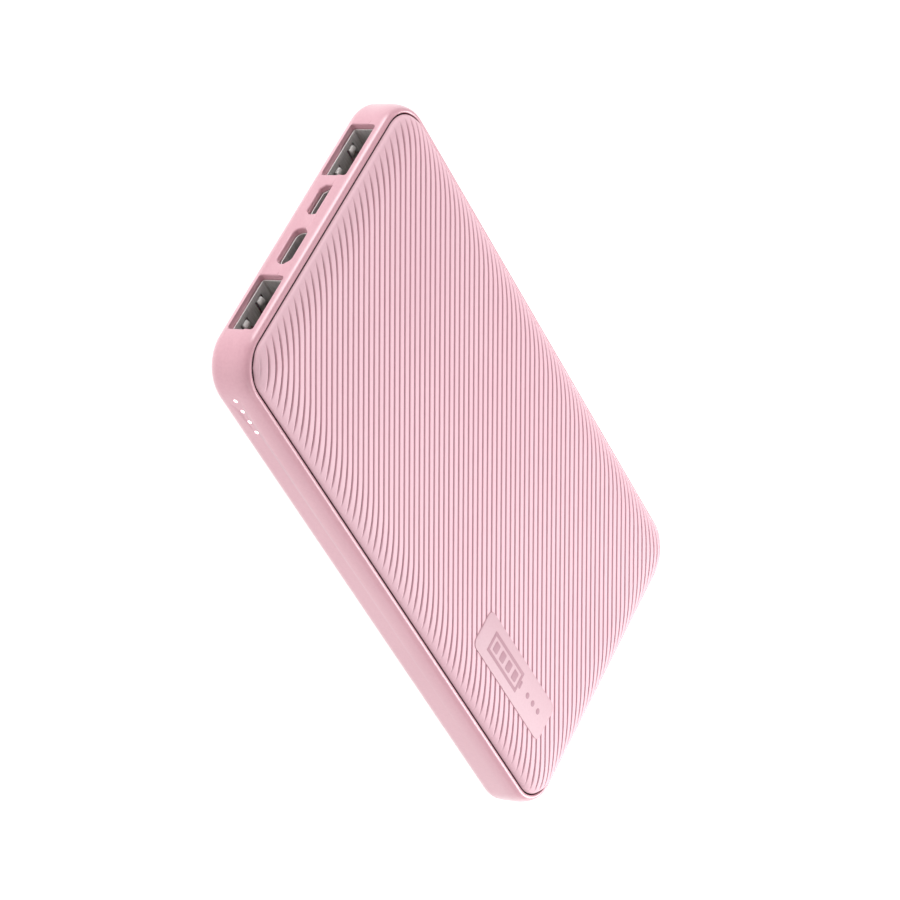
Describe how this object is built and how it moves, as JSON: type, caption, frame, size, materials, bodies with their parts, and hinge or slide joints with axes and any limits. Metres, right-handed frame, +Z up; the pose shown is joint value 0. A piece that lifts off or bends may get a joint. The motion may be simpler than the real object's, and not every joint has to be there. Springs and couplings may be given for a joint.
{
  "type": "power bank",
  "caption": "Flat rounded power bank in satin pink plastic with a diagonally grooved cover, mixed USB sockets at one end and small round lights on one side.",
  "frame": {"origin": "centre of the footprint on the resting plane, under the back", "axes": "+X towards the side with the lights, +Y away from the sockets, +Z up through the grooved cover"},
  "size_m": [0.0734, 0.1376, 0.0121],
  "materials": {
    "tray": "satin",
    "cover": "satin",
    "badge": "satin",
    "light_guides": "clear, lit white",
    "socket_shell": "plated",
    "socket_insert": "matt",
    "socket_contacts": "plated",
    "board": "satin solder mask",
    "screws": "zinc",
    "leds": "gloss",
    "chips": "matt",
    "inductor": "matt",
    "capacitors": "satin",
    "button": "satin",
    "switch": "matt",
    "plunger": "satin",
    "cell": "foil pouch",
    "foam": "matt foam",
    "tabs": "nickel",
    "lead_red": "satin",
    "lead_black": "satin"
  },
  "bodies": {
    "case": {"tray": "tray", "cover": "cover", "badge": "badge", "light_guides": "light_guides", "usb_a_shell_1": "socket_shell", "usb_a_insert_1": "socket_insert", "usb_a_contacts_1": "socket_contacts", "usb_a_shell_2": "socket_shell", "usb_a_insert_2": "socket_insert", "usb_a_contacts_2": "socket_contacts", "usb_c_shell": "socket_shell", "usb_c_insert": "socket_insert", "micro_usb_shell": "socket_shell", "micro_usb_insert": "socket_insert", "main_board": "board", "board_screws": "screws", "indicator_leds": "leds", "control_chips": "chips", "power_inductor": "inductor", "capacitors": "capacitors", "tact_switch": "switch", "battery_cell": "cell", "cell_foam": "foam", "cell_tabs": "tabs", "lead_positive": "lead_red", "lead_negative": "lead_black"},
    "button": {"power_button": "button"},
    "plunger": {"tact_plunger": "plunger"}
  },
  "joints": [
    {"name": "button_press", "type": "slide", "parent": "case", "child": "button", "axis": [1, 0, 0], "range_m": [0, 0.00025], "stiffness_N_per_m": 600, "springref_m": -0.0005},
    {"name": "plunger_press", "type": "slide", "parent": "case", "child": "plunger", "axis": [1, 0, 0], "range_m": [0, 0.00025]}
  ],
  "couplings": [
    {"joint": "plunger_press", "follows": "button_press", "ratio": 1}
  ]
}
